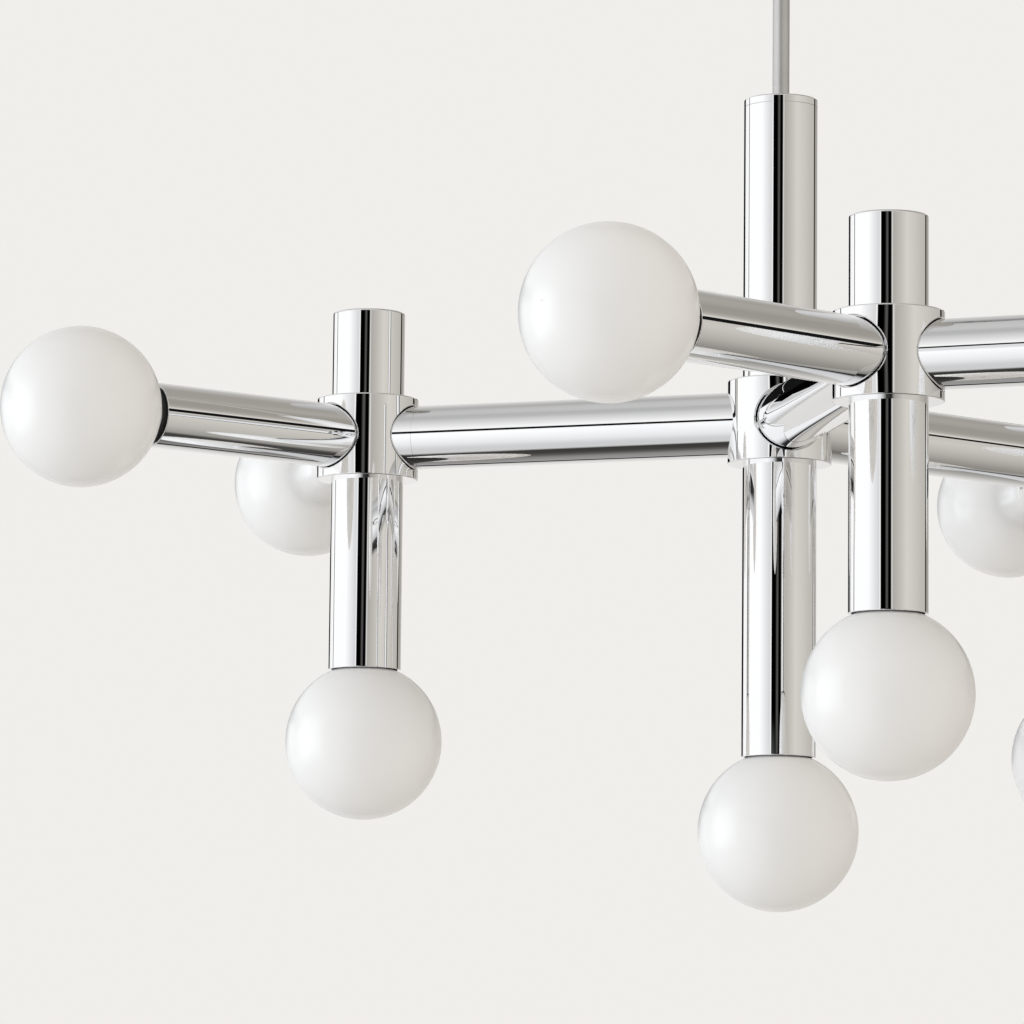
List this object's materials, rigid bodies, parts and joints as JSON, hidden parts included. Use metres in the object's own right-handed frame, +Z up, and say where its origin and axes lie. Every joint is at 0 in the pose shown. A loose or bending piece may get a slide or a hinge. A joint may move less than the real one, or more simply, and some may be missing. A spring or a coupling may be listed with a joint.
{
  "type": "chandelier",
  "caption": "Chrome chandelier on a thin rod: a column with level arms to outer hubs that carry opal globe lamps on level and hanging tubes.",
  "frame": {"origin": "centre of the crossbar's upper face, in the plane of the ceiling", "axes": "+Z up into the ceiling, -Y towards the front arm, +X along the crossbar"},
  "size_m": [0.777, 0.6837, 0.756],
  "materials": {
    "chrome": "polished chrome plate",
    "opal_glass": "matte opal white glass, unlit",
    "satin_nickel": "satin nickel-plated rod",
    "steel": "zinc-plated strip",
    "nickel": "nickel-plated thread",
    "green_screw": "green earth screw",
    "socket_black": "moulded phenolic",
    "brass": "plain brass shell",
    "bulb_metal": "rolled aluminium screw cap",
    "wire": "sleeved lamp wire"
  },
  "bodies": {
    "ceiling_fitting": {"ceiling_crossbar": "steel", "ground_screw": "green_screw", "ceiling_nipple": "nickel", "nipple_nuts": "nickel", "ceiling_canopy": "chrome", "canopy_nut": "chrome"},
    "swivel": {"swivel_cap": "chrome", "swivel_cup": "chrome"},
    "chandelier": {"swivel_ball": "chrome", "column_cap": "chrome", "column_upper_tube": "chrome", "center_hub": "chrome", "column_lower_tube": "chrome", "arm_tube_front": "chrome", "outer_hub_front": "chrome", "stub_tube_front": "chrome", "drop_tube_front": "chrome", "branch_tube_front_a": "chrome", "branch_tube_front_b": "chrome", "arm_tube_left": "chrome", "outer_hub_left": "chrome", "stub_tube_left": "chrome", "drop_tube_left": "chrome", "branch_tube_left_a": "chrome", "branch_tube_left_b": "chrome", "arm_tube_right": "chrome", "outer_hub_right": "chrome", "stub_tube_right": "chrome", "drop_tube_right": "chrome", "branch_tube_right_a": "chrome", "branch_tube_right_b": "chrome", "down_rod": "satin_nickel", "hub_nipples": "nickel", "hub_nuts": "nickel", "tube_plugs": "nickel", "tie_pipes": "nickel", "socket_mounts": "nickel", "lamp_sockets": "socket_black", "socket_shells": "brass", "wiring_harness": "wire"},
    "bulb_center_down": {"bulb_globe_center_down": "opal_glass", "bulb_base_center_down": "bulb_metal"},
    "bulb_front_down": {"bulb_globe_front_down": "opal_glass", "bulb_base_front_down": "bulb_metal"},
    "bulb_front_a": {"bulb_globe_front_a": "opal_glass", "bulb_base_front_a": "bulb_metal"},
    "bulb_front_b": {"bulb_globe_front_b": "opal_glass", "bulb_base_front_b": "bulb_metal"},
    "bulb_left_down": {"bulb_globe_left_down": "opal_glass", "bulb_base_left_down": "bulb_metal"},
    "bulb_left_a": {"bulb_globe_left_a": "opal_glass", "bulb_base_left_a": "bulb_metal"},
    "bulb_left_b": {"bulb_globe_left_b": "opal_glass", "bulb_base_left_b": "bulb_metal"},
    "bulb_right_down": {"bulb_globe_right_down": "opal_glass", "bulb_base_right_down": "bulb_metal"},
    "bulb_right_a": {"bulb_globe_right_a": "opal_glass", "bulb_base_right_a": "bulb_metal"},
    "bulb_right_b": {"bulb_globe_right_b": "opal_glass", "bulb_base_right_b": "bulb_metal"}
  },
  "joints": [
    {"name": "swivel_turn", "type": "hinge", "parent": "ceiling_fitting", "child": "swivel", "pos_m": [0, 0, -0.0353], "axis": [0, 0, 1], "range_deg": [-175, 175]},
    {"name": "swivel_tilt", "type": "hinge", "parent": "swivel", "child": "chandelier", "pos_m": [0, 0, -0.052], "axis": [1, 0, 0], "range_deg": [-20, 20]},
    {"name": "bulb_center_down_unscrew", "type": "hinge", "parent": "chandelier", "child": "bulb_center_down", "pos_m": [0, 0, -0.716], "axis": [0, 0, -1], "range_deg": [0, 990]},
    {"name": "bulb_front_down_unscrew", "type": "hinge", "parent": "chandelier", "child": "bulb_front_down", "pos_m": [0, -0.222, -0.667], "axis": [0, 0, -1], "range_deg": [0, 990]},
    {"name": "bulb_front_a_unscrew", "type": "hinge", "parent": "chandelier", "child": "bulb_front_a", "pos_m": [0.1501, -0.3158, -0.511], "axis": [0.848, -0.5299, 0], "range_deg": [0, 990]},
    {"name": "bulb_front_b_unscrew", "type": "hinge", "parent": "chandelier", "child": "bulb_front_b", "pos_m": [-0.1501, -0.3158, -0.511], "axis": [-0.848, -0.5299, 0], "range_deg": [0, 990]},
    {"name": "bulb_left_down_unscrew", "type": "hinge", "parent": "chandelier", "child": "bulb_left_down", "pos_m": [-0.19226, 0.111, -0.667], "axis": [0, 0, -1], "range_deg": [0, 990]},
    {"name": "bulb_left_a_unscrew", "type": "hinge", "parent": "chandelier", "child": "bulb_left_a", "pos_m": [-0.34854, 0.0279, -0.511], "axis": [-0.8829, -0.4695, 0], "range_deg": [0, 990]},
    {"name": "bulb_left_b_unscrew", "type": "hinge", "parent": "chandelier", "child": "bulb_left_b", "pos_m": [-0.19844, 0.28789, -0.511], "axis": [-0.0349, 0.9994, 0], "range_deg": [0, 990]},
    {"name": "bulb_right_down_unscrew", "type": "hinge", "parent": "chandelier", "child": "bulb_right_down", "pos_m": [0.19226, 0.111, -0.667], "axis": [0, 0, -1], "range_deg": [0, 990]},
    {"name": "bulb_right_a_unscrew", "type": "hinge", "parent": "chandelier", "child": "bulb_right_a", "pos_m": [0.19844, 0.28789, -0.511], "axis": [0.0349, 0.9994, 0], "range_deg": [0, 990]},
    {"name": "bulb_right_b_unscrew", "type": "hinge", "parent": "chandelier", "child": "bulb_right_b", "pos_m": [0.34854, 0.0279, -0.511], "axis": [0.8829, -0.4695, 0], "range_deg": [0, 990]}
  ]
}
